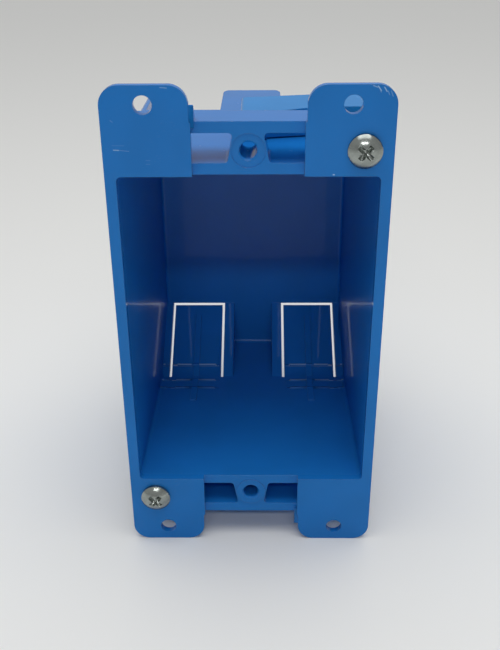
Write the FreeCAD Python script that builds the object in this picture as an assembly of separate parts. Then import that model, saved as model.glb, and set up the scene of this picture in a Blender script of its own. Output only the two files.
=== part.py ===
import FreeCAD, Part
import math
import os

from FreeCAD import Vector

# Single-gang box for a finished wall: one deep moulding with four ears, and two
# swing-out clamps on long screws, at the upper right and the lower left.
# X runs right, Y into the wall, Z up. Y = 0 is the ears' back, which is the wall's
# surface; the origin is midway between the two device screw holes. Sizes in mm.

# Box: opening, walls, depth behind the wall's surface
opening_width = 52.4
opening_height = 73.8
opening_corner_radius = 1.0
side_wall = 1.7
top_wall = 2.3
back_wall = 2.3
inner_depth = 66.7
side_draft = 0.5
floor_draft = 0.3
outer_edge_radius = 1.4
back_edge_radius = 1.2
inner_edge_radius = 1.0

# Bridges over the opening's ends, with the device screw bosses between windows;
# the rise sets the standard 83.34 between the two device screw holes
device_hole_rise = 2.47
device_hole_radius = 1.75
device_hole_chamfer = 0.35
boss_disc_radius = 3.45
boss_disc_step = 0.2
bridge_height = 8.3
bridge_roof = 2.3
bridge_depth = 9.0
bridge_end_wall = 1.7
bridge_clamp_gap = 8.7
web_top_half_width = 3.0
web_foot_half_width = 4.2
window_radius = 0.8

# Front frame and ears
frame_overhang = 0.6
ear_width = 17.4
ear_reach = 7.25
ear_thickness = 1.6
ear_step = 0.3
ear_corner_radius = 3.9
ear_hole_radius = 1.85
ear_hole_from_side = 8.4
ear_hole_from_end = 3.75
gusset_width = 1.3
gusset_height = 3.2
gusset_showing = 0.6

# Cable entries: sloped panels in the rear corners, each with one pry-in tongue
channel_half_width = 5.6
channel_wall = 1.9
channel_corner_radius = 4.0
ramp_run = 21.3
ramp_rise = 13.4
ramp_wall = 2.0
tongue_slot = 0.7
tongue_end_gap = 0.75
tongue_inner_ledge = 0.9
tongue_outer_ledge = 1.9
tongue_root = 0.2
middle_rib_width = 1.7
middle_rib_height = 0.35
middle_rib_lead = 12.4
middle_rib_gap = 4.5
ridge_on_ramp = 4.0
ridges_before_fold = (1.9, 6.0)
ridge_width = 0.6
ridge_height = 0.35
ridge_inset = 1.5

# Clamp screws
screw_from_side = 5.8
screw_radius = 1.75
screw_length = 38.1
screw_point = 0.7
head_radius = 3.43
head_height = 2.2
head_dome_radius = 4.6
recess_reach = 2.0
recess_width = 1.0
recess_depth = 1.7
recess_tip_reach = 0.7
recess_tip_width = 0.65
running_clearance = 0.05
head_clearance = 0.05

# Swing clamps
clamp_front = 20.0
clamp_depth = 10.4
clamp_rake = 3.0
clamp_rake_start = 10.5
clamp_length = 24.6
clamp_sole = 2.62
clamp_hub_top = 4.2
clamp_tip_top = 3.4
clamp_draft = 0.75
clamp_clearance = 0.26
clamp_tip_radius = 0.8
clamp_corner_radius = 1.0

# Worked out from the sizes above
open_x = opening_width / 2
open_z = opening_height / 2
body_x = open_x + side_wall
body_z = open_z + top_wall
outer_depth = inner_depth + back_wall
device_hole_z = body_z + device_hole_rise
bridge_reach = body_z + bridge_height
roof_inner_z = bridge_reach - bridge_roof
half_width = body_x + frame_overhang
half_height = bridge_reach + ear_reach
ear_inner_x = half_width - ear_width
ear_hole_x = half_width - ear_hole_from_side
ear_hole_z = half_height - ear_hole_from_end
block_x = channel_half_width + channel_wall
ramp_foot = inner_depth - ramp_run
ramp_angle = math.atan2(ramp_rise, ramp_run)
ramp_length = ramp_run / math.cos(ramp_angle)
screw_x = half_width - screw_from_side
screw_z = body_z + clamp_clearance + clamp_sole
bridge_clamp_side = screw_x - bridge_clamp_gap

# How far cutting solids run past the body, near other forms and in the open
margin = 2.0
overshoot = 7.0


def corner_arc(before, corner, after, radius):
    """The tangent points and the middle of the arc that rounds one corner."""
    to_before = (before - corner).normalize()
    to_after = (after - corner).normalize()
    half_angle = to_before.getAngle(to_after) / 2
    reach = radius / math.tan(half_angle)
    inward = (to_before + to_after).normalize()
    middle = corner + inward * (radius / math.sin(half_angle) - radius)
    return corner + to_before * reach, middle, corner + to_after * reach


def outline(corners, y):
    """A closed wire in the plane at y through corners (x, z) or (x, z, radius)."""
    points = [Vector(corner[0], y, corner[1]) for corner in corners]
    radii = [corner[2] if len(corner) > 2 else 0 for corner in corners]
    count = len(points)
    edges = []
    stops = []
    for i in range(count):
        if radii[i] > 0:
            start, middle, end = corner_arc(points[i - 1], points[i], points[(i + 1) % count], radii[i])
            edges.append((start, Part.Arc(start, middle, end).toShape(), end))
        else:
            edges.append((points[i], None, points[i]))
    for i in range(count):
        start, arc, end = edges[i]
        following = edges[(i + 1) % count][0]
        if arc is not None:
            stops.append(arc)
        if end.distanceToPoint(following) > 1e-6:
            stops.append(Part.LineSegment(end, following).toShape())
    return Part.Wire(stops)


def rectangle(x_low, x_high, z_low, z_high, radius=0.0):
    return [(x_low, z_low, radius), (x_high, z_low, radius),
            (x_high, z_high, radius), (x_low, z_high, radius)]


def prism(corners, y_low, y_high):
    """An outline in the XZ plane, pulled along Y."""
    return Part.Face(outline(corners, y_low)).extrude(Vector(0, y_high - y_low, 0))


def tapered(front_corners, back_corners, y_low, y_high):
    """A solid whose section changes evenly from one outline to the other."""
    return Part.makeLoft([outline(front_corners, y_low), outline(back_corners, y_high)], True, True)


def side_prism(profile, x_low, x_high):
    """A profile of (y, z) points, pulled along X."""
    points = [Vector(x_low, y, z) for y, z in profile]
    return Part.Face(Part.makePolygon(points + points[:1])).extrude(Vector(x_high - x_low, 0, 0))


def rod(x, z, radius, y_low, y_high):
    return Part.makeCylinder(radius, y_high - y_low, Vector(x, y_low, z), Vector(0, 1, 0))


def half_turn(shape):
    """The same shape turned half round about the Y axis: upper right becomes lower left."""
    turned = shape.copy()
    turned.rotate(Vector(0, 0, 0), Vector(0, 1, 0), 180)
    return turned


def mirror_x(shape):
    return shape.mirror(Vector(0, 0, 0), Vector(1, 0, 0))


def mirror_z(shape):
    return shape.mirror(Vector(0, 0, 0), Vector(0, 0, 1))


def edges_at(solid, y):
    return [edge for edge in solid.Edges if all(abs(v.Point.y - y) < 1e-6 for v in edge.Vertexes)]


def rounded_at(solid, y, radius):
    return solid.makeFillet(radius, edges_at(solid, y))


# Box body

def outer_block():
    """The deep body, drafted at its sides, with rounded long and rear edges."""
    front = rectangle(-body_x, body_x, -body_z, body_z, outer_edge_radius)
    back_x = body_x - side_draft
    back = rectangle(-back_x, back_x, -body_z, body_z, outer_edge_radius)
    return rounded_at(tapered(front, back, 0, outer_depth), outer_depth, back_edge_radius)


def collar():
    """The upper bridge's block: it covers the left corner and stops short of the clamp."""
    side_at_depth = body_x - side_draft * bridge_depth / outer_depth
    inside_z = open_z - margin

    def section(left):
        return [(-left, inside_z), (bridge_clamp_side, inside_z), (bridge_clamp_side, bridge_reach),
                (-left, bridge_reach, outer_edge_radius)]

    return tapered(section(body_x), section(side_at_depth), 0, bridge_depth)


def bridge_windows():
    """The openings either side of the device screw boss, right through the bridge."""
    windows = []
    for end, side in ((bridge_clamp_side - bridge_end_wall, 1), (body_x - bridge_end_wall, -1)):
        corners = [(side * web_foot_half_width, body_z, window_radius),
                   (side * end, body_z),
                   (side * end, roof_inner_z, window_radius),
                   (side * web_top_half_width, roof_inner_z, window_radius)]
        windows.append(prism(corners, 0, bridge_depth + margin))
    return windows


def device_hole(face):
    """A screw hole through the upper boss, with a small lead-in from the boss's face."""
    z = device_hole_z
    bore = rod(0, z, device_hole_radius, -margin, bridge_depth + margin)
    lead_in = Part.makeCone(device_hole_radius + device_hole_chamfer, device_hole_radius,
                            device_hole_chamfer, Vector(0, face, z), Vector(0, 1, 0))
    return bore.fuse(lead_in)


def boss_disc(y_low, y_high):
    """The round seat about the upper boss's hole."""
    return rod(0, device_hole_z, boss_disc_radius, y_low, y_high)


def side_frame():
    """The right strip of the frame with its two ears, in one flat piece."""
    upper_x = ear_inner_x + ear_step
    upper = [(half_width, half_height, ear_corner_radius),
             (upper_x, half_height, ear_corner_radius),
             (upper_x, bridge_reach + ear_step),
             (ear_inner_x, bridge_reach),
             (ear_inner_x, open_z),
             (open_x, open_z, opening_corner_radius)]
    lower = [(corner[0], -corner[1]) + tuple(corner[2:]) for corner in reversed(upper)]
    return prism(upper + lower, -ear_thickness, 0)


def ear_gusset():
    """A small web that ties the lower right ear's inner edge to the bridge beside it."""
    z = -bridge_reach + bridge_roof / 2
    low = -bridge_reach - gusset_height
    profile = [(-ear_thickness / 2, z), (-ear_thickness / 2, low), (0, low),
               (gusset_height, -bridge_reach), (gusset_height, z)]
    side = ear_inner_x - gusset_showing
    return side_prism(profile, side, side + gusset_width)


def ramp_point(along, above=0.0):
    """A (y, z) point on the lower ramp's inner face, or above it by a height."""
    y = ramp_foot + along * math.cos(ramp_angle) - above * math.sin(ramp_angle)
    z = -open_z + along * math.sin(ramp_angle) + above * math.cos(ramp_angle)
    return y, z


def below_ramp(x_low, x_high, above):
    """All that lies behind and below the lower ramp's plane, or a plane beside it."""
    low = -body_z - overshoot
    start = ramp_point(-overshoot, above)
    end = ramp_point(ramp_length + overshoot, above)
    return side_prism([start, end, (end[0], low), (start[0], low)], x_low, x_high)


def entry_notch():
    """What is taken off outside one lower rear corner, beneath the ramp."""
    notch = below_ramp(block_x, open_x - side_draft, -ramp_wall)
    return notch.fuse(channel_corner())


def channel_corner():
    """What rounds the middle channel's upright rear edge beside one lower ramp."""
    radius = channel_corner_radius
    x = block_x - radius
    y = outer_depth - radius
    ahead = Part.makeBox(radius, outer_depth, 2 * body_z, Vector(x, y - outer_depth, -2 * body_z))
    core = Part.makeCylinder(radius, 2 * body_z, Vector(x, y, -2 * body_z))
    return below_ramp(x, block_x, -ramp_wall).cut([ahead, core])


def entry_ramp():
    """The space that one lower ramp takes from the inside of the box."""
    return below_ramp(channel_half_width, body_x + margin, 0)


def on_ramp(x_low, x_high, along_low, along_high, above_low, above_high):
    """A block that lies on the lower ramp, between heights above its inner face."""
    profile = [ramp_point(along_low, above_low), ramp_point(along_high, above_low),
               ramp_point(along_high, above_high), ramp_point(along_low, above_high)]
    return side_prism(profile, x_low, x_high)


def tongue_sides():
    """The outer edges of the two slots beside a tongue."""
    return block_x + tongue_inner_ledge, open_x - side_draft - tongue_outer_ledge


def tongue_slots():
    """A U of slots that frees the tongue at both sides and over its tip."""
    inner, outer = tongue_sides()
    tip = ramp_length - tongue_end_gap
    sides = [on_ramp(x, x + tongue_slot, tongue_root, tip + tongue_end_gap / 2, -ramp_wall - margin, margin)
             for x in (inner, outer - tongue_slot)]
    return sides + [tongue_gap(tip, inner, outer)]


def tongue_gap(tip, inner, outer):
    """The gap between the tongue's tip and the back wall, whose edge stays level with the mould's pull."""
    above = tongue_end_gap * math.tan(ramp_angle)
    edge = ramp_point(tip, above)
    foot = ramp_point(tip, -ramp_wall - margin)
    behind = outer_depth + margin
    return side_prism([edge, foot, (behind, foot[1]), (behind, edge[1])], inner, outer)


def on_floor(x_low, x_high, y_low, y_high, height):
    """A block that stands on the drafted floor by a height."""
    floor = -open_z + floor_draft * y_high / inner_depth
    profile = [(y_low, -open_z - top_wall / 2), (y_high, -open_z - top_wall / 2),
               (y_high, floor + height), (y_low, floor + height)]
    return side_prism(profile, x_low, x_high)


def tongue_ribs():
    """The tongue's middle rib, and the short ridges near the fold, the last beside the box's wall."""
    inner, outer = tongue_sides()
    middle = (inner + outer) / 2
    half = middle_rib_width / 2
    sunk = -ramp_wall / 2
    ribs = [on_ramp(middle - half, middle + half, 0, ramp_length - middle_rib_gap, sunk, middle_rib_height),
            on_floor(middle - half, middle + half, ramp_foot - middle_rib_lead, ramp_foot, middle_rib_height)]
    end = tongue_slot + ridge_inset
    spans = ((inner + end, middle - half), (middle + half, outer - end), (outer, body_x - side_wall / 2))
    for x_low, x_high in spans:
        ribs.append(on_ramp(x_low, x_high, ridge_on_ramp - ridge_width / 2,
                            ridge_on_ramp + ridge_width / 2, sunk, ridge_height))
        for step in ridges_before_fold:
            y = ramp_foot - step
            ribs.append(on_floor(x_low, x_high, y - ridge_width / 2, y + ridge_width / 2, ridge_height))
    return ribs


def four_corners(shape):
    """A lower right feature, repeated in all four rear corners."""
    pair = [shape, mirror_x(shape)]
    return pair + [mirror_z(one) for one in pair]


def cavity():
    """The inside of the box, less the four ramps."""
    front = rectangle(-open_x, open_x, -open_z, open_z, opening_corner_radius)
    back_x = open_x - side_draft
    back_z = open_z - floor_draft
    back = rectangle(-back_x, back_x, -back_z, back_z, opening_corner_radius)
    inside = rounded_at(tapered(front, back, 0, inner_depth), inner_depth, inner_edge_radius)
    return inside.cut(four_corners(entry_ramp()))


def box_body():
    body = outer_block().fuse([collar(), half_turn(collar())])
    body = body.fuse([side_frame(), mirror_x(side_frame())])
    body = body.fuse([ear_gusset(), half_turn(ear_gusset())])
    body = body.cut(four_corners(entry_notch()))
    body = body.cut(cavity())
    ribs = [rib for one in tongue_ribs() for rib in four_corners(one)]
    body = body.fuse(ribs + [half_turn(boss_disc(-boss_disc_step, bridge_depth / 2))])
    slots = [slot for one in tongue_slots() for slot in four_corners(one)]
    holes = [boss_disc(-margin, boss_disc_step), device_hole(boss_disc_step)]
    holes += [half_turn(device_hole(-boss_disc_step))]
    holes += bridge_windows() + [half_turn(window) for window in bridge_windows()]
    for x in (-ear_hole_x, ear_hole_x):
        for z in (-ear_hole_z, ear_hole_z):
            holes.append(rod(x, z, ear_hole_radius, -ear_thickness - margin, margin))
    screw_hole = rod(screw_x, screw_z, screw_radius + running_clearance, -ear_thickness - margin, margin)
    body = body.cut(slots + holes + [screw_hole, half_turn(screw_hole)])
    return body.removeSplitter()


# Clamp screw

def cross_recess():
    """A tapered cross in the head's face."""
    face = -ear_thickness - head_clearance - head_height
    half = recess_width / 2
    tip_half = recess_tip_width / 2
    across = Part.makeWedge(-recess_reach, face, -half, -tip_half, -recess_tip_reach,
                            recess_reach, face + recess_depth, half, tip_half, recess_tip_reach)
    upright = across.copy()
    upright.rotate(Vector(0, 0, 0), Vector(0, 1, 0), 90)
    recess = across.fuse(upright)
    recess.translate(Vector(screw_x, 0, screw_z))
    return recess


def clamp_screw():
    """A screw whose domed head bears on the ear's front; its shank runs back along Y."""
    seat = -ear_thickness - head_clearance
    top = seat - head_height
    tip = seat + screw_length
    dome = Part.makeSphere(head_dome_radius, Vector(screw_x, top + head_dome_radius, screw_z))
    head = rod(screw_x, screw_z, head_radius, top, seat).common(dome)
    shank = rod(screw_x, screw_z, screw_radius, seat, tip)
    shank = shank.makeChamfer(screw_point, edges_at(shank, tip))
    return head.fuse(shank).cut(cross_recess())


# Swing clamp

def clamp_section(drop):
    """The clamp seen along the screw, with its wing folded towards the box's middle."""
    x = screw_x
    z = screw_z
    return [(x - clamp_length, z - clamp_sole, clamp_tip_radius),
            (x + clamp_sole, z - clamp_sole, clamp_sole),
            (x + clamp_sole, z + clamp_hub_top - drop, clamp_corner_radius),
            (x - clamp_sole, z + clamp_hub_top - drop, clamp_corner_radius),
            (x - clamp_length, z + clamp_tip_top - drop, clamp_tip_radius)]


def clamp_plan():
    """The clamp seen from above: the wing's front leans forward to bite at its tip."""
    left = screw_x - clamp_length
    right = screw_x + clamp_sole
    start = screw_x - clamp_rake_start
    rear = clamp_front + clamp_depth
    points = [Vector(right, clamp_front, 0), Vector(start, clamp_front, 0),
              Vector(left, clamp_front - clamp_rake, 0), Vector(left, rear, 0), Vector(right, rear, 0)]
    face = Part.Face(Part.makePolygon(points + points[:1]))
    return face.extrude(Vector(0, 0, screw_z + clamp_hub_top + margin))


def swing_clamp():
    front = clamp_front - clamp_rake
    rear = clamp_front + clamp_depth
    body = tapered(clamp_section(clamp_draft), clamp_section(0), front, rear)
    body = body.common(clamp_plan())
    bore = rod(screw_x, screw_z, screw_radius + running_clearance, front - margin, rear + margin)
    return body.cut(bore)


def write(name, shape):
    shape.exportStep(os.path.join("parts", name + ".step"))
    print(name, "solids", len(shape.Solids), "valid", shape.isValid(), "volume %.1f" % shape.Volume)


def main():
    os.makedirs("parts", exist_ok=True)
    write("box_body", box_body())
    screw = clamp_screw()
    write("clamp_screw_upper", screw)
    write("clamp_screw_lower", half_turn(screw))
    clamp = swing_clamp()
    write("swing_clamp_upper", clamp)
    write("swing_clamp_lower", half_turn(clamp))


main()
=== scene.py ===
"""A blue single-gang wall box with two swing-out clamps on long screws, finished and staged.

The pieces keep the places and sizes of the loaded model. Lengths are in metres: X runs right,
Y into the wall and Z up, with the wall's surface at Y = 0.
"""
import math

import bmesh
import bpy
from bpy.props import FloatProperty, FloatVectorProperty, IntProperty, PointerProperty
from mathutils import Matrix, Vector


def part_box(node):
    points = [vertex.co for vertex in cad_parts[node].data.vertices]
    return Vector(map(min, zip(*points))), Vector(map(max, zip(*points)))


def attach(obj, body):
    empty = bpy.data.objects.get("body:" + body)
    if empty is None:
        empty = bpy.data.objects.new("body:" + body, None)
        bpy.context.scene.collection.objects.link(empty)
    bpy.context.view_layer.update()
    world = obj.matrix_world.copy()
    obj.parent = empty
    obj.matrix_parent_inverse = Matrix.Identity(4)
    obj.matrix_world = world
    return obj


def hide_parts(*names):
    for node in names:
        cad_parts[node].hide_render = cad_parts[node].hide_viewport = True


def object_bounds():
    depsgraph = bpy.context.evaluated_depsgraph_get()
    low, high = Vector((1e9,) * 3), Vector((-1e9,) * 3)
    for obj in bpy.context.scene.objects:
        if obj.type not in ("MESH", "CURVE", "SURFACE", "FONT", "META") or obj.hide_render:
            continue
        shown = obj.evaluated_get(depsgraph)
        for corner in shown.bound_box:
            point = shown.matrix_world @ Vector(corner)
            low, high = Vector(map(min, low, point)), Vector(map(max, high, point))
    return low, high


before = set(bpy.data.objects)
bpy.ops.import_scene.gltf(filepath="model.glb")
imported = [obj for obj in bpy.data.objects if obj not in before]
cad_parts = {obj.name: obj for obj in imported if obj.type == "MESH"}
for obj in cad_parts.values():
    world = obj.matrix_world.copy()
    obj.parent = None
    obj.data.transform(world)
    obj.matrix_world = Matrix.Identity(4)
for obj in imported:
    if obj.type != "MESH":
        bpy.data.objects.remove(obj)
model_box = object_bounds()

bl_info = {
    "name": "Wall Box",
    "version": (1, 0, 0),
    "blender": (4, 5, 0),
    "location": "View3D > Sidebar > Wall Box",
    "description": "Finishes a moulded wall box with swing-out clamps and sets its stage",
    "category": "Object",
}

MM = 0.001
BODY = "box_body"
CLAMPS = {"swing_clamp_upper": "clamp_upper", "swing_clamp_lower": "clamp_lower"}
SCREWS = {"clamp_screw_upper": "screw_upper", "clamp_screw_lower": "screw_lower"}

# Places on the moulding, in mm: depths from the wall's surface, and widths and heights from the
# middle. A fade is where a mask starts to change and where it has changed.
EAR_FRONT_FADE = (-1.58, -1.52)
INNER_WIDTH_FADE = (26.3, 26.6)
INNER_HEIGHT_FADE = (37.0, 37.3)
MOUTH_FADE = (0.0, 0.3)
BACK_FADE = (67.5, 67.9)
SOFT_END = 0.2
BACK_WALL = (66.4, 67.5)
GATE_HEIGHT = 0.5
GATE_LINE = 0.25
RIDGE_WIDTHS = (9.6, 25.6)
RIDGE_HEIGHTS = (33.4, 36.8)
RIDGE_HALF_THICKNESS = 0.42
# Lengths of the ridges that get a painted highlight
RIDGE_HIGHLIGHT_WIDTHS = ((10.5, 15.2), (17.7, 22.7), (25.2, 25.6))

# Pale strokes in the ears' front faces, partly scratches and partly painted highlights at edges:
# both ends (x, z) and the width in mm, and the strength
EAR_SCRATCHES_AND_HIGHLIGHTS = (
    ((-26.2, 42.35), (-25.2, 42.3), 0.16, 0.7),
    ((-25.2, 42.3), (-23.2, 42.1), 0.1, 0.3),
    ((-26.4, 43.25), (-24.1, 43.2), 0.1, 0.12),
    ((-20.0, 40.25), (-19.2, 40.25), 0.12, 0.12),
    ((-20.0, 39.5), (-19.25, 39.5), 0.12, 0.12),
    ((-26.4, 48.1), (-26.0, 47.8), 0.15, 0.2),
    ((-16.5, 54.3), (-15.3, 54.2), 0.15, 0.45),
    ((-11.3, 48.2), (-11.0, 47.4), 0.15, 0.25),
    ((16.7, 37.3), (16.9, 37.3), 0.2, 0.9),
    ((23.6, 54.5), (24.4, 54.2), 0.16, 0.5),
    ((24.5, 54.4), (25.1, 53.6), 0.16, 0.8),
    ((24.8, 54.1), (25.1, 53.3), 0.12, 0.45),
    ((25.7, 54.2), (26.2, 53.4), 0.16, 0.7),
    ((26.4, 53.5), (26.7, 52.8), 0.12, 0.35),
    ((27.0, 53.5), (27.4, 52.5), 0.14, 0.35),
)

# Patterns in the moulding: patches of noise to the metre, and the steps that turn it into marks
FLOW_SCALE, FLOW_STEP = 60.0, (0.3, 0.7)
WAVE_SCALE = 55.0
GRAIN_SCALE, GRAIN_STRENGTH = 2600.0, 0.5
STREAK_SCALE, STREAK_STEP = 900.0, (0.66, 0.75)
STREAK_STRETCH, STREAK_TURN = (1.0, 1.0, 12.0), (0.0, 0.5, 0.3)
SCUFF_SCALE, SCUFF_STEP = 90.0, (0.5, 0.65)
# The step that turns the edges' rounding into a painted highlight
EDGE_HIGHLIGHT_STEP = (0.86, 0.99)

# How the patterns change the colour, the relief and the roughness
FLOW_TINT = 1.1
# The pale colour of the scuffs and of the painted highlights on the edges
PALE_SHARE, PALE_LIFT = 0.7, 0.12
SCUFF_PALENESS = 0.35
GATE_RELIEF = 0.06
FLOW_ROUGHNESS, SCUFF_ROUGHNESS, STROKE_ROUGHNESS = 0.04, 0.25, 0.2

# Zinc plate: cloudy patches, and turning marks round the screw's axis
CLOUD_SCALE, CLOUD_STEP, CLOUD_TINT = 700.0, (0.35, 0.7), 0.8
TURNING_SCALE, TURNING_STRETCH = 1500.0, (1.0, 14.0, 1.0)
TURNING_HEIGHT, TURNING_STRENGTH = 0.01 * MM, 0.6
ZINC_ROUGHNESS, CLOUD_ROUGHNESS = 0.13, 0.12

# Meshes: angles in degrees
MERGE_DISTANCE = 0.001 * MM
FLAT_ANGLE = 0.1
CURVE_ANGLE = 30.0
SCREW_CURVE_ANGLE = 35.0
CREST_STEP = (0.12, 0.88)
HEAD_RIM_SHARE = 0.45
SHANK_CLEARANCE = 1 * MM
THREAD_OVERLAP = 0.2 * MM

# The stage
FLOOR_HALF = 2.5
WALL_BLEND = 0.5
CEILING_BLEND = 0.6
CAMERA_CLIP = 10 * MM


# Node trees

class Value:
    """An output socket that Python's operators turn into Math nodes."""

    def __init__(self, tree, socket):
        self.tree = tree
        self.socket = socket

    def __add__(self, other):
        return self.tree.math("ADD", self, other)

    def __radd__(self, other):
        return self.tree.math("ADD", other, self)

    def __sub__(self, other):
        return self.tree.math("SUBTRACT", self, other)

    def __rsub__(self, other):
        return self.tree.math("SUBTRACT", other, self)

    def __mul__(self, other):
        return self.tree.math("MULTIPLY", self, other)

    def __rmul__(self, other):
        return self.tree.math("MULTIPLY", other, self)

    def __truediv__(self, other):
        return self.tree.math("DIVIDE", self, other)

    def __rtruediv__(self, other):
        return self.tree.math("DIVIDE", other, self)

    def __abs__(self):
        return self.tree.math("ABSOLUTE", self)


class Tree:
    """A node tree whose nodes come from one method."""

    def __init__(self, tree):
        self.tree = tree

    def node(self, kind, settings=None, inputs=None, output=0):
        """Adds a node, sets it up, feeds its inputs by name or number, and gives one output."""
        made = self.tree.nodes.new(kind)
        for name, value in (settings or {}).items():
            setattr(made, name, value)
        for name, value in (inputs or {}).items():
            if isinstance(value, Value):
                self.tree.links.new(value.socket, made.inputs[name])
            else:
                made.inputs[name].default_value = value
        return Value(self, made.outputs[output]) if made.outputs else made

    def math(self, operation, *values):
        return self.node("ShaderNodeMath", {"operation": operation}, dict(enumerate(values)))

    def axes(self, vector):
        """The three numbers of a vector."""
        parts = self.node("ShaderNodeSeparateXYZ", None, {0: vector}).socket.node
        return [Value(self, output) for output in parts.outputs]

    def vector(self, x, y, z):
        return self.node("ShaderNodeCombineXYZ", None, {0: x, 1: y, 2: z})

    def smooth(self, value, low, high, start=0.0, end=1.0):
        """A soft step from start at low to end at high."""
        return self.node("ShaderNodeMapRange", {"interpolation_type": "SMOOTHSTEP"},
                         {"Value": value, "From Min": low, "From Max": high,
                          "To Min": start, "To Max": end})

    def noise(self, where, scale, detail=3.0):
        """Noise from 0 to 1, with its scale in patches to the metre."""
        return self.node("ShaderNodeTexNoise", None,
                         {"Vector": where, "Scale": scale, "Detail": detail})

    def stretched(self, where, factors, turn=(0.0, 0.0, 0.0)):
        """Coordinates turned and then stretched, for streaks."""
        return self.node("ShaderNodeMapping", None,
                         {"Vector": where, "Scale": factors, "Rotation": turn})

    def mix(self, amount, first, second):
        """A colour between two others."""
        return self.node("ShaderNodeMix", {"data_type": "RGBA"},
                         {"Factor": amount, 6: first, 7: second}, 2)

    def shows_backdrop(self):
        """1 for the rays that show the background: camera, glossy and transmission rays."""
        kinds = ("Is Camera Ray", "Is Glossy Ray", "Is Transmission Ray")
        camera, glossy, through = [self.node("ShaderNodeLightPath", output=kind) for kind in kinds]
        return self.node("ShaderNodeMath", {"operation": "ADD", "use_clamp": True},
                         {0: camera + glossy, 1: through})

    def length(self, x, y):
        """The distance of a point from an axis."""
        return self.math("SQRT", x * x + y * y)


class Finish(Tree):
    """A material that ends in one Principled shader and reads the object's own coordinates."""

    def __init__(self, name):
        self.material = bpy.data.materials.new(name)
        self.material.use_nodes = True
        super().__init__(self.material.node_tree)
        self.tree.nodes.clear()
        self.place = self.node("ShaderNodeTexCoord", output="Object")

    def bump(self, height, distance, strength=1.0, normal=None):
        """A normal bent by a height, on top of another normal where one is given."""
        inputs = {"Height": height, "Distance": distance, "Strength": strength}
        if normal is not None:
            inputs["Normal"] = normal
        return self.node("ShaderNodeBump", None, inputs)

    def shade(self, **inputs):
        """Feeds the shader's sockets; an underscore in a name stands for a space."""
        named = {name.replace("_", " "): value for name, value in inputs.items()}
        surface = self.node("ShaderNodeBsdfPrincipled", None, named)
        self.node("ShaderNodeOutputMaterial", None, {"Surface": surface})
        return self.material


class Moulding(Finish):
    """A moulded plastic's finish, with the masks that follow the box's own shapes."""

    def __init__(self, name):
        super().__init__(name)
        self.x, self.y, self.z = self.axes(self.place)

    def past(self, value, low, high):
        """0 up to a length in mm, and 1 from the next."""
        return self.smooth(value, low * MM, high * MM)

    def until(self, value, low, high):
        """1 up to a length in mm, and 0 from the next."""
        return self.smooth(value, low * MM, high * MM, 1.0, 0.0)

    def span(self, value, low, high):
        """1 between two lengths in mm, with soft ends."""
        return (self.past(value, low - SOFT_END, low)
                * self.until(value, high, high + SOFT_END))

    def inside(self):
        """1 on the polished walls inside the box, 0 on the ears and the outside."""
        across = self.until(abs(self.x), *INNER_WIDTH_FADE)
        up = self.until(abs(self.z), *INNER_HEIGHT_FADE)
        return across * up * self.past(self.y, *MOUTH_FADE) * self.until(self.y, *BACK_FADE)

    def stroke(self, start, end, width):
        """A soft pale stroke between two points (x, z) of the ears' front faces, for scratches and
        painted highlights.
        """
        run = (end[0] - start[0], end[1] - start[1])
        length = math.hypot(*run)
        across, up = run[0] / length, run[1] / length
        right, above = self.x - start[0], self.z - start[1]
        along = right * across + above * up
        aside = abs(right * up - above * across)
        line = self.smooth(aside, 0.0, width, 1.0, 0.0) * self.until(self.y, *EAR_FRONT_FADE)
        return (line * self.smooth(along, -width, 0.0)
                * self.smooth(along, length, length + width, 1.0, 0.0))

    def scratches_and_highlights(self, marks):
        """All the pale strokes, scratches and painted highlights, the strongest at each place."""
        total = 0.0
        for start, end, width, strength in marks:
            ends = [[v * MM for v in point] for point in (start, end)]
            total = self.math("MAXIMUM", total, strength * self.stroke(*ends, width * MM))
        return total

    def gate_ring(self, settings):
        """The faint ring of the mould's gate on the back wall."""
        gate = self.length(self.x, self.z - GATE_HEIGHT * MM)
        ring = self.until(abs(gate - settings.gate_radius), 0.0, GATE_LINE)
        return ring * self.span(self.y, *BACK_WALL)

    def ridges(self, settings, shares):
        """The rounded tops of the short ridges by the cable entries, each row with its share."""
        rows = 0.0
        for place, share in zip(settings.ridge_places, shares):
            top = self.smooth(abs(self.y - place), 0.0, RIDGE_HALF_THICKNESS * MM, share, 0.0)
            rows = self.math("MAXIMUM", rows, top)
        return (rows * self.span(abs(self.x), *RIDGE_WIDTHS)
                * self.span(abs(self.z), *RIDGE_HEIGHTS))

    def painted_ridge_highlights(self, settings):
        """Painted highlights on lengths of the ridges' tops, clear of the middle rib and the
        slots.
        """
        lengths = sum((self.span(abs(self.x), *ends) for ends in RIDGE_HIGHLIGHT_WIDTHS), 0.0)
        return self.ridges(settings, settings.ridge_highlight_share) * lengths

    def scuffs(self):
        """Short fine scratches in patches."""
        lengthened = self.stretched(self.place, STREAK_STRETCH, STREAK_TURN)
        streaks = self.smooth(self.noise(lengthened, STREAK_SCALE, 2.0), *STREAK_STEP)
        return streaks * self.smooth(self.noise(self.place, SCUFF_SCALE), *SCUFF_STEP)

    def painted_edge_highlights(self, rounded, settings):
        """Painted highlights on the edges: how pale each edge is painted, from how far its
        rounding turns the normal.
        """
        plain = self.node("ShaderNodeNewGeometry", output="Normal")
        turn = self.node("ShaderNodeVectorMath", {"operation": "DOT_PRODUCT"},
                         {0: rounded, 1: plain}, "Value")
        return self.smooth(turn, *EDGE_HIGHLIGHT_STEP, settings.edge_highlight, 0.0)

    def relief(self, rounded, settings):
        """Slow waves, then grain, then the ridges' tops and the gate, on the rounded edges."""
        waves = self.bump(self.noise(self.place, WAVE_SCALE, 1.0), settings.wave_height,
                          normal=rounded)
        grain = self.bump(self.noise(self.place, GRAIN_SCALE, 2.0), settings.grain_height,
                          GRAIN_STRENGTH, waves)
        height = GATE_RELIEF * self.gate_ring(settings) + self.ridges(settings, (1.0, 1.0, 1.0))
        return self.bump(height, settings.relief_height, normal=grain)


def colour(value):
    return (*value, 1.0)


# Sizes and colours

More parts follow.
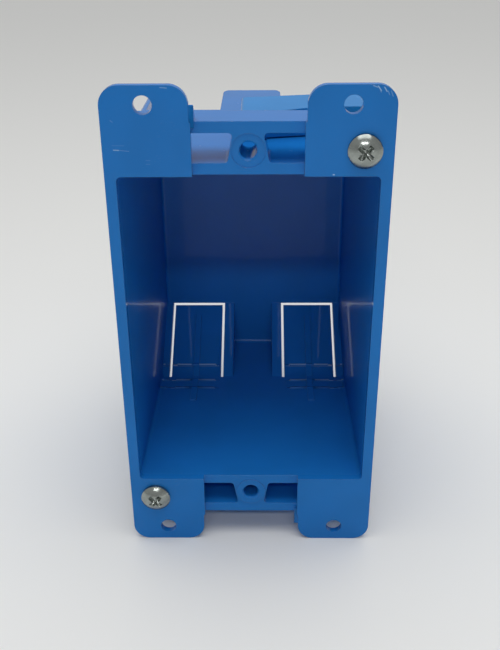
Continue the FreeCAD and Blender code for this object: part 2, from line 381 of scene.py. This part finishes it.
class MouldingSettings(bpy.types.PropertyGroup):
    """The look of the moulded box and clamps."""
    box_colour: FloatVectorProperty(
        name="Box colour", description="Colour of the moulded box", subtype="COLOR",
        size=3, min=0.0, max=1.0, default=(0.011, 0.18, 0.56))
    clamp_colour: FloatVectorProperty(
        name="Clamp colour", description="Colour of the two swing clamps", subtype="COLOR",
        size=3, min=0.0, max=1.0, default=(0.011, 0.22, 0.58))
    # The pale colour of the scratches, and of the painted highlights on the ridges and at the
    # ears' edges
    scratch_and_highlight_colour: FloatVectorProperty(
        name="Scratch colour", description="Colour of the scratches and the rubbed ridges",
        subtype="COLOR", size=3, min=0.0, max=1.0, default=(0.5, 0.72, 0.92))
    outer_roughness: FloatProperty(
        name="Outer roughness", description="Roughness of the ears and the outside",
        subtype="FACTOR", min=0.0, max=1.0, default=0.09)
    inner_roughness: FloatProperty(
        name="Inner roughness", description="Roughness of the inside under its gloss",
        subtype="FACTOR", min=0.0, max=1.0, default=0.32)
    inner_gloss: FloatProperty(
        name="Inner gloss", description="Strength of the mirror gloss inside the box",
        subtype="FACTOR", min=0.0, max=1.0, default=0.15)
    edge_radius: FloatProperty(
        name="Edge radius", description="Rounding of the moulding's sharp edges",
        subtype="DISTANCE", unit="LENGTH", min=0.0, default=0.22 * MM)
    grain_height: FloatProperty(
        name="Grain height", description="Height of the fine grain left by the mould",
        subtype="DISTANCE", unit="LENGTH", min=0.0, default=0.003 * MM)
    wave_height: FloatProperty(
        name="Wave height", description="Height of the slow waves in the flat walls",
        subtype="DISTANCE", unit="LENGTH", min=0.0, default=0.05 * MM)
    # How strong the painted highlight on the moulding's edges is
    edge_highlight: FloatProperty(
        name="Edge paleness", description="How far the moulding's edges turn pale",
        subtype="FACTOR", min=0.0, max=1.0, default=0.3)
    relief_height: FloatProperty(
        name="Ridge rounding", description="Height of the ridges' rounded tops",
        subtype="DISTANCE", unit="LENGTH", min=0.0, default=0.25 * MM)
    ridge_places: FloatVectorProperty(
        name="Ridge places", description="Depth of the short ridges by the cable entries",
        subtype="XYZ", unit="LENGTH", size=3, default=(39.4 * MM, 43.5 * MM, 48.8 * MM))
    # How pale each row of ridges is painted, as a painted highlight on its top
    ridge_highlight_share: FloatVectorProperty(
        name="Ridge wear", description="How pale each row of ridges has been rubbed",
        subtype="XYZ", size=3, min=0.0, max=1.0, default=(0.25, 0.7, 0.75))
    gate_radius: FloatProperty(
        name="Gate mark radius", description="Radius of the round mark on the back wall",
        subtype="DISTANCE", unit="LENGTH", min=0.0, default=3.3 * MM)


class ScrewSettings(bpy.types.PropertyGroup):
    """The look of the clamp screws."""
    zinc_colour: FloatVectorProperty(
        name="Zinc colour", description="Colour of the plated steel", subtype="COLOR",
        size=3, min=0.0, max=1.0, default=(0.34, 0.37, 0.35))
    thread_pitch: FloatProperty(
        name="Thread pitch", description="Length of one turn of the thread",
        subtype="DISTANCE", unit="LENGTH", min=0.0001, default=0.794 * MM)
    thread_depth: FloatProperty(
        name="Thread depth", description="Depth of the thread's groove",
        subtype="DISTANCE", unit="LENGTH", min=0.0, default=0.42 * MM)
    thread_start: FloatProperty(
        name="Thread start", description="Plain length under the head",
        subtype="DISTANCE", unit="LENGTH", min=0.0, default=1.9 * MM)
    point_length: FloatProperty(
        name="Point length", description="Length of the chamfer at the screw's end",
        subtype="DISTANCE", unit="LENGTH", min=0.0, default=0.7 * MM)
    recess_turn: FloatProperty(
        name="Recess turn", description="How far each screw is turned from an upright cross",
        subtype="ANGLE", unit="ROTATION", default=math.radians(42.0))
    around: IntProperty(
        name="Steps around", description="Faces round the shank", min=12, default=40)
    per_turn: IntProperty(
        name="Steps per turn", description="Rings in one turn of the thread", min=4, default=8)


class StageSettings(bpy.types.PropertyGroup):
    """The floor, the light and the camera."""
    floor_colour: FloatVectorProperty(
        name="Floor colour", description="Colour of the floor", subtype="COLOR",
        size=3, min=0.0, max=1.0, default=(0.86, 0.865, 0.85))
    overhead_power: FloatProperty(
        name="Overhead lamp", description="Power of the soft lamp overhead", unit="POWER",
        min=0.0, default=1.38)
    overhead_size: FloatVectorProperty(
        name="Overhead lamp's size", description="Width and depth of the overhead lamp",
        subtype="XYZ", unit="LENGTH", size=2, min=0.0, default=(0.6, 0.4))
    overhead_place: FloatVectorProperty(
        name="Overhead lamp's place", description="Where the overhead lamp hangs",
        subtype="TRANSLATION", unit="LENGTH", size=3, default=(0.0, -0.1, 0.6))
    front_power: FloatProperty(
        name="Front lamp", description="Power of the long, low lamp that looks into the box",
        unit="POWER", min=0.0, default=0.49)
    front_size: FloatVectorProperty(
        name="Front lamp's size", description="Width and height of the front lamp",
        subtype="XYZ", unit="LENGTH", size=2, min=0.0, default=(0.3, 0.03))
    front_height: FloatProperty(
        name="Front lamp's height",
        description="How steeply the front lamp looks past the opening's top",
        subtype="ANGLE", unit="ROTATION", default=math.radians(36.3))
    front_distance: FloatProperty(
        name="Front lamp's distance",
        description="Distance of the front lamp from the opening's top",
        subtype="DISTANCE", unit="LENGTH", min=0.1, default=0.55)
    opening_top: FloatProperty(
        name="Opening's top", description="Height of the opening's upper edge",
        subtype="DISTANCE", unit="LENGTH", default=36.9 * MM)
    sky_front: FloatProperty(
        name="Front wall light", description="Strength of the room's light behind the camera",
        min=0.0, default=0.0)
    sky_back: FloatProperty(
        name="Back wall light", description="Strength of the room's light behind the box",
        min=0.0, default=0.4)
    ceiling_front: FloatProperty(
        name="Front ceiling light",
        description="Strength of the ceiling's light in front of the box",
        min=0.0, default=0.9)
    ceiling_back: FloatProperty(
        name="Back ceiling light", description="Strength of the ceiling's light behind the box",
        min=0.0, default=1.75)
    backdrop: FloatProperty(
        name="Backdrop",
        description="Brightness of the backdrop past the floor, seen and mirrored",
        min=0.0, max=1.0, default=0.45)
    camera_place: FloatVectorProperty(
        name="Camera place", description="Where the camera stands", subtype="TRANSLATION",
        unit="LENGTH", size=3, default=(2.65 * MM, -164.74 * MM, 87.89 * MM))
    camera_pitch: FloatProperty(
        name="Camera pitch", description="How far the camera looks down", subtype="ANGLE",
        unit="ROTATION", default=math.radians(27.18))
    camera_yaw: FloatProperty(
        name="Camera yaw", description="How far the camera turns right", subtype="ANGLE",
        unit="ROTATION", default=math.radians(-0.891))
    camera_roll: FloatProperty(
        name="Camera roll", description="How far the camera tilts sideways", subtype="ANGLE",
        unit="ROTATION", default=math.radians(-0.428))
    lens: FloatProperty(
        name="Lens", description="Focal length on a 36 mm sensor", subtype="DISTANCE_CAMERA",
        min=1.0, default=47.35)


# Meshes

def placed(name, data):
    """A new object in the scene."""
    made = bpy.data.objects.new(name, data)
    bpy.context.scene.collection.objects.link(made)
    return made


def plain_mesh(piece):
    """What a piece's modifiers make of it, as a mesh of its own."""
    evaluated = piece.evaluated_get(bpy.context.evaluated_depsgraph_get())
    return bpy.data.meshes.new_from_object(evaluated)


def copy_of_node(node, name):
    """A separate object with a node's mesh, its loose triangles merged into whole faces."""
    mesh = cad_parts[node].data.copy()
    mesh.name = name
    work = bmesh.new()
    work.from_mesh(mesh)
    bmesh.ops.remove_doubles(work, verts=work.verts, dist=MERGE_DISTANCE)
    bmesh.ops.dissolve_limit(work, angle_limit=math.radians(FLAT_ANGLE), verts=work.verts,
                             edges=work.edges)
    for face in work.faces:
        face.smooth = True
    work.to_mesh(mesh)
    work.free()
    mesh.materials.clear()
    return placed(name, mesh)


def smooth_curves(piece, angle):
    """Smooths a piece's curved faces and leaves its flat ones flat."""
    piece.data.set_sharp_from_angle(angle=math.radians(angle))
    modifier = piece.modifiers.new("flat_faces", "WEIGHTED_NORMAL")
    modifier.keep_sharp = True
    modifier.weight = 100
    mesh = plain_mesh(piece)
    piece.modifiers.clear()
    piece.data = mesh


def finish_piece(piece, material, body, node, angle=CURVE_ANGLE):
    """Gives a piece its shading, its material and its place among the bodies."""
    smooth_curves(piece, angle)
    piece.data.materials.clear()
    piece.data.materials.append(material)
    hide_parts(node)
    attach(piece, body)


# Materials

def moulded_plastic(name, tint, settings, marks=()):
    """Glossy moulded plastic with slow waves, fine grain, light scuffs and painted highlights on
    edges and ridges.
    """
    look = Moulding(name)
    flow = look.noise(look.place, FLOW_SCALE, 2.0)
    scuffs = look.scuffs()
    scratches_and_highlights = look.scratches_and_highlights(marks)
    inside = look.inside()
    rounded = look.node("ShaderNodeBevel", {"samples": 6}, {"Radius": settings.edge_radius})

    lighter = colour([FLOW_TINT * c for c in tint])
    scuff_and_highlight_tint = colour([PALE_SHARE * c + PALE_LIFT for c in tint])
    base = look.mix(look.smooth(flow, *FLOW_STEP), colour(tint), lighter)
    # Scuffs turn pale, and the edges get a painted highlight
    base = look.mix(SCUFF_PALENESS * scuffs + look.painted_edge_highlights(rounded, settings), base, scuff_and_highlight_tint)
    # Scratches, and painted highlights at the ears' edges and on the ridges' tops, in the pale
    # scratch colour
    base = look.mix(scratches_and_highlights + look.painted_ridge_highlights(settings), base, colour(settings.scratch_and_highlight_colour))

    rough = settings.outer_roughness
    rough = rough + (settings.inner_roughness - settings.outer_roughness) * inside
    rough = (rough + FLOW_ROUGHNESS * flow + SCUFF_ROUGHNESS * scuffs
             + STROKE_ROUGHNESS * scratches_and_highlights)
    return look.shade(Base_Color=base, Roughness=rough, Normal=look.relief(rounded, settings),
                      IOR=1.5, Specular_IOR_Level=0.2,
                      Coat_Weight=settings.inner_gloss * inside, Coat_Roughness=0.03)


def plated_steel(settings):
    """Bright zinc plate with cloudy patches and fine turning marks."""
    look = Finish("zinc_plate")
    cloud = look.noise(look.place, CLOUD_SCALE)
    lines = look.noise(look.stretched(look.place, TURNING_STRETCH), TURNING_SCALE, 2.0)
    tint = settings.zinc_colour
    darker = colour([CLOUD_TINT * c for c in tint])
    base = look.mix(look.smooth(cloud, *CLOUD_STEP), colour(tint), darker)
    normal = look.bump(lines, TURNING_HEIGHT, TURNING_STRENGTH)
    return look.shade(Base_Color=base, Metallic=1.0,
                      Roughness=ZINC_ROUGHNESS + CLOUD_ROUGHNESS * cloud, Normal=normal)


# Threads

def thread_tree():
    """Geometry nodes that cut a helical groove round a plain rod along Z."""
    group = bpy.data.node_groups.new("screw_thread", "GeometryNodeTree")
    for name in ("Radius", "Length", "Pitch", "Depth", "Point"):
        group.interface.new_socket(name, in_out="INPUT", socket_type="NodeSocketFloat")
    for name in ("Around", "Rings"):
        group.interface.new_socket(name, in_out="INPUT", socket_type="NodeSocketInt")
    group.interface.new_socket("Material", in_out="INPUT", socket_type="NodeSocketMaterial")
    group.interface.new_socket("Geometry", in_out="OUTPUT", socket_type="NodeSocketGeometry")
    tree = Tree(group)
    entry = group.nodes.new("NodeGroupInput")
    given = {socket.name: Value(tree, socket) for socket in entry.outputs if socket.name}
    rod = tree.node("GeometryNodeMeshCylinder", {"fill_type": "TRIANGLE_FAN"},
                    {"Vertices": given["Around"], "Side Segments": given["Rings"],
                     "Radius": given["Radius"], "Depth": given["Length"]})

    # The groove: a wave that climbs one pitch in each turn, with flat crests and roots
    x, y, z = tree.axes(tree.node("GeometryNodeInputPosition"))
    turns = z / given["Pitch"] - tree.math("ARCTAN2", y, x) / math.tau
    wave = abs(tree.math("FRACT", turns) - 0.5) * 2.0
    crest = tree.node("ShaderNodeMapRange", None,
                      {"Value": wave, "From Min": CREST_STEP[0], "From Max": CREST_STEP[1]})
    grooved = given["Radius"] - given["Depth"] * (1.0 - crest)

    # The point: a chamfer at the far end that cuts the crests down
    from_end = given["Length"] / 2.0 - z
    pointed = given["Radius"] - tree.math("MAXIMUM", given["Point"] - from_end, 0.0)
    radius = tree.math("MINIMUM", grooved, pointed)

    on_side = tree.node("FunctionNodeCompare", {"data_type": "FLOAT", "operation": "GREATER_THAN"},
                        {0: tree.length(x, y), 1: given["Radius"] / 2.0})
    share = radius / given["Radius"]
    cut = tree.node("GeometryNodeSetPosition", None,
                    {"Geometry": rod, "Selection": on_side,
                     "Position": tree.vector(x * share, y * share, z)})
    real = tree.node("GeometryNodeRealizeInstances", None, {"Geometry": cut})
    faced = tree.node("GeometryNodeSetMaterial", None,
                      {"Geometry": real, "Material": given["Material"]})
    tree.node("NodeGroupOutput", None, {"Geometry": faced})
    return group


def threaded_rod(name, radius, length, material, settings):
    """A mesh of a threaded rod along Z, centred on the origin."""
    group = thread_tree()
    carrier = placed(name, bpy.data.meshes.new(name))
    modifier = carrier.modifiers.new("thread", "NODES")
    modifier.node_group = group
    values = {"Radius": radius, "Length": length, "Pitch": settings.thread_pitch,
              "Depth": settings.thread_depth, "Point": settings.point_length,
              "Around": settings.around, "Material": material,
              "Rings": round(length / settings.thread_pitch * settings.per_turn)}
    for item in group.interface.items_tree:
        if item.in_out == "INPUT":
            modifier[item.identifier] = values[item.name]
    mesh = plain_mesh(carrier)
    bpy.data.objects.remove(carrier)
    return mesh


# Operators

class WALLBOX_OT_moulding(bpy.types.Operator):
    """Finish the moulded box"""
    bl_idname = "wallbox.moulding"
    bl_label = "Moulded box"

    def execute(self, context):
        settings = context.scene.wallbox_moulding
        piece = copy_of_node(BODY, "moulded_box")
        material = moulded_plastic("blue_moulding", settings.box_colour, settings, EAR_SCRATCHES_AND_HIGHLIGHTS)
        finish_piece(piece, material, "box", BODY)
        return {"FINISHED"}


class WALLBOX_OT_clamps(bpy.types.Operator):
    """Finish the two swing clamps"""
    bl_idname = "wallbox.clamps"
    bl_label = "Swing clamps"

    def execute(self, context):
        settings = context.scene.wallbox_moulding
        material = moulded_plastic("clamp_moulding", settings.clamp_colour, settings)
        for node, body in CLAMPS.items():
            piece = copy_of_node(node, node + "_finished")
            finish_piece(piece, material, body, node)
        return {"FINISHED"}


class WALLBOX_OT_screws(bpy.types.Operator):
    """Finish the two clamp screws, with their threads"""
    bl_idname = "wallbox.screws"
    bl_label = "Clamp screws"

    def execute(self, context):
        settings = context.scene.wallbox_screws
        material = plated_steel(settings)
        for node, body in SCREWS.items():
            self.finish_screw(node, body, material, settings)
        return {"FINISHED"}

    def finish_screw(self, node, body, material, settings):
        """Keeps a screw's head and neck, and gives it a threaded rod for its plain shank."""
        low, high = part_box(node)
        axis_x = (low[0] + high[0]) / 2
        axis_z = (low[2] + high[2]) / 2
        piece = copy_of_node(node, node + "_finished")
        neck, shank = self.cut_head(piece.data, axis_x, axis_z, high[0] - low[0], settings)
        length = high[1] - neck + THREAD_OVERLAP
        thread = threaded_rod(node + "_thread", shank, length, material, settings)
        thread.transform(Matrix.Translation((axis_x, high[1] - length / 2, axis_z))
                         @ Matrix.Rotation(math.radians(-90.0), 4, "X"))
        work = bmesh.new()
        work.from_mesh(piece.data)
        work.from_mesh(thread)
        work.to_mesh(piece.data)
        work.free()
        finish_piece(piece, material, body, node, SCREW_CURVE_ANGLE)

    def cut_head(self, mesh, axis_x, axis_z, head_width, settings):
        """Cuts the shank off at the neck and turns the head.

        Gives the neck's depth and the shank's radius.
        """
        work = bmesh.new()
        work.from_mesh(mesh)
        reach = {v: math.hypot(v.co.x - axis_x, v.co.z - axis_z) for v in work.verts}
        seat = max(v.co.y for v in work.verts if reach[v] > head_width * HEAD_RIM_SHARE)
        neck = seat + settings.thread_start
        shank = max(reach[v] for v in work.verts if v.co.y > seat + SHANK_CLEARANCE)
        cut = bmesh.ops.bisect_plane(work, geom=[*work.verts, *work.edges, *work.faces],
                                     plane_co=(0, neck, 0), plane_no=(0, 1, 0), clear_outer=True)
        rim = [edge for edge in cut["geom_cut"] if isinstance(edge, bmesh.types.BMEdge)]
        bmesh.ops.contextual_create(work, geom=rim)
        bmesh.ops.rotate(work, verts=work.verts, cent=(axis_x, 0, axis_z),
                         matrix=Matrix.Rotation(settings.recess_turn, 3, "Y"))
        for face in work.faces:
            face.smooth = True
        work.to_mesh(mesh)
        work.free()
        return neck, shank


class WALLBOX_OT_stage(bpy.types.Operator):
    """Set the floor, the light and the camera"""
    bl_idname = "wallbox.stage"
    bl_label = "Stage"

    def execute(self, context):
        settings = context.scene.wallbox_stage
        self.floor(settings)
        self.lamps(settings)
        self.room(context, settings)
        self.camera(context, settings)
        context.scene.view_settings.view_transform = "Standard"
        return {"FINISHED"}

    def floor(self, settings):
        """A plain sheet of pale paper under the box."""
        base = model_box[0][2]
        corners = [(x * FLOOR_HALF, y * FLOOR_HALF, base)
                   for x, y in ((-1, -1), (1, -1), (1, 1), (-1, 1))]
        mesh = bpy.data.meshes.new("floor")
        mesh.from_pydata(corners, [], [(0, 1, 2, 3)])
        mesh.materials.append(Finish("floor_paper").shade(
            Base_Color=colour(settings.floor_colour), Roughness=0.9, Specular_IOR_Level=0.1))
        placed("floor", mesh)

    def lamps(self, settings):
        """A long, low lamp that looks past the opening's top, and a soft one overhead."""
        reach, steep = settings.front_distance, settings.front_height
        front = (0.0, -reach * math.cos(steep), settings.opening_top + reach * math.sin(steep))
        self.lamp("front_lamp", settings.front_power, settings.front_size, front)
        self.lamp("overhead_lamp", settings.overhead_power, settings.overhead_size,
                  settings.overhead_place)

    def lamp(self, name, power, size, place):
        """A flat lamp that looks at the box's middle."""
        data = bpy.data.lights.new(name, "AREA")
        data.energy = power
        data.shape = "RECTANGLE"
        data.size, data.size_y = size
        lamp = placed(name, data)
        lamp.location = place
        lamp.rotation_euler = (-Vector(place)).to_track_quat("-Z", "Y").to_euler()

    def room(self, context, settings):
        """A room that lights the box from its walls and ceiling, behind a plain backdrop."""
        world = bpy.data.worlds.new("room")
        world.use_nodes = True
        world.node_tree.nodes.clear()
        room = Tree(world.node_tree)
        _, y, z = room.axes(room.node("ShaderNodeTexCoord", output="Generated"))
        up = room.math("MAXIMUM", z, 0.0)
        walls = room.smooth(y, -WALL_BLEND, WALL_BLEND, settings.sky_front, settings.sky_back)
        ceiling = room.smooth(y, -CEILING_BLEND, CEILING_BLEND,
                              settings.ceiling_front, settings.ceiling_back)
        light = walls + (ceiling - walls) * up * up * up * up
        seen = room.shows_backdrop()
        strength = seen * settings.backdrop + (1.0 - seen) * light
        sky = room.node("ShaderNodeBackground", None,
                        {"Color": (1.0, 1.0, 1.0, 1.0), "Strength": strength})
        room.node("ShaderNodeOutputWorld", None, {"Surface": sky})
        context.scene.world = world

    def camera(self, context, settings):
        """The camera at the photograph's place, turned by its three angles."""
        pitch, yaw, roll = settings.camera_pitch, settings.camera_yaw, settings.camera_roll
        forward = Vector((math.sin(yaw) * math.cos(pitch), math.cos(yaw) * math.cos(pitch),
                          -math.sin(pitch)))
        right = Vector((math.cos(yaw), -math.sin(yaw), 0.0))
        up = right.cross(forward)
        across = right * math.cos(roll) + up * math.sin(roll)
        upright = up * math.cos(roll) - right * math.sin(roll)
        data = bpy.data.cameras.new("camera")
        data.lens = settings.lens
        data.clip_start = CAMERA_CLIP
        camera = placed("camera", data)
        turn = Matrix((across, upright, -forward)).transposed().to_4x4()
        camera.matrix_world = Matrix.Translation(settings.camera_place) @ turn
        context.scene.camera = camera


class WALLBOX_PT_panel(bpy.types.Panel):
    """The box's settings and steps"""
    bl_idname = "WALLBOX_PT_panel"
    bl_label = "Wall Box"
    bl_space_type = "VIEW_3D"
    bl_region_type = "UI"
    bl_category = "Wall Box"

    def draw(self, context):
        for group_name in GROUPS:
            group = getattr(context.scene, group_name)
            column = self.layout.column()
            for name in group.__annotations__:
                column.prop(group, name)
        for operator in OPERATORS:
            self.layout.operator(operator.bl_idname)


OPERATORS = (WALLBOX_OT_moulding, WALLBOX_OT_clamps, WALLBOX_OT_screws, WALLBOX_OT_stage)
GROUPS = {"wallbox_moulding": MouldingSettings, "wallbox_screws": ScrewSettings,
          "wallbox_stage": StageSettings}


def register():
    for made in (*GROUPS.values(), *OPERATORS, WALLBOX_PT_panel):
        bpy.utils.register_class(made)
    for name, group in GROUPS.items():
        setattr(bpy.types.Scene, name, PointerProperty(type=group))


def unregister():
    for name in GROUPS:
        delattr(bpy.types.Scene, name)
    for made in reversed((*GROUPS.values(), *OPERATORS, WALLBOX_PT_panel)):
        bpy.utils.unregister_class(made)


def main():
    register()
    bpy.ops.wallbox.moulding()
    bpy.ops.wallbox.clamps()
    bpy.ops.wallbox.screws()
    bpy.ops.wallbox.stage()


if __name__ == "__main__":
    main()
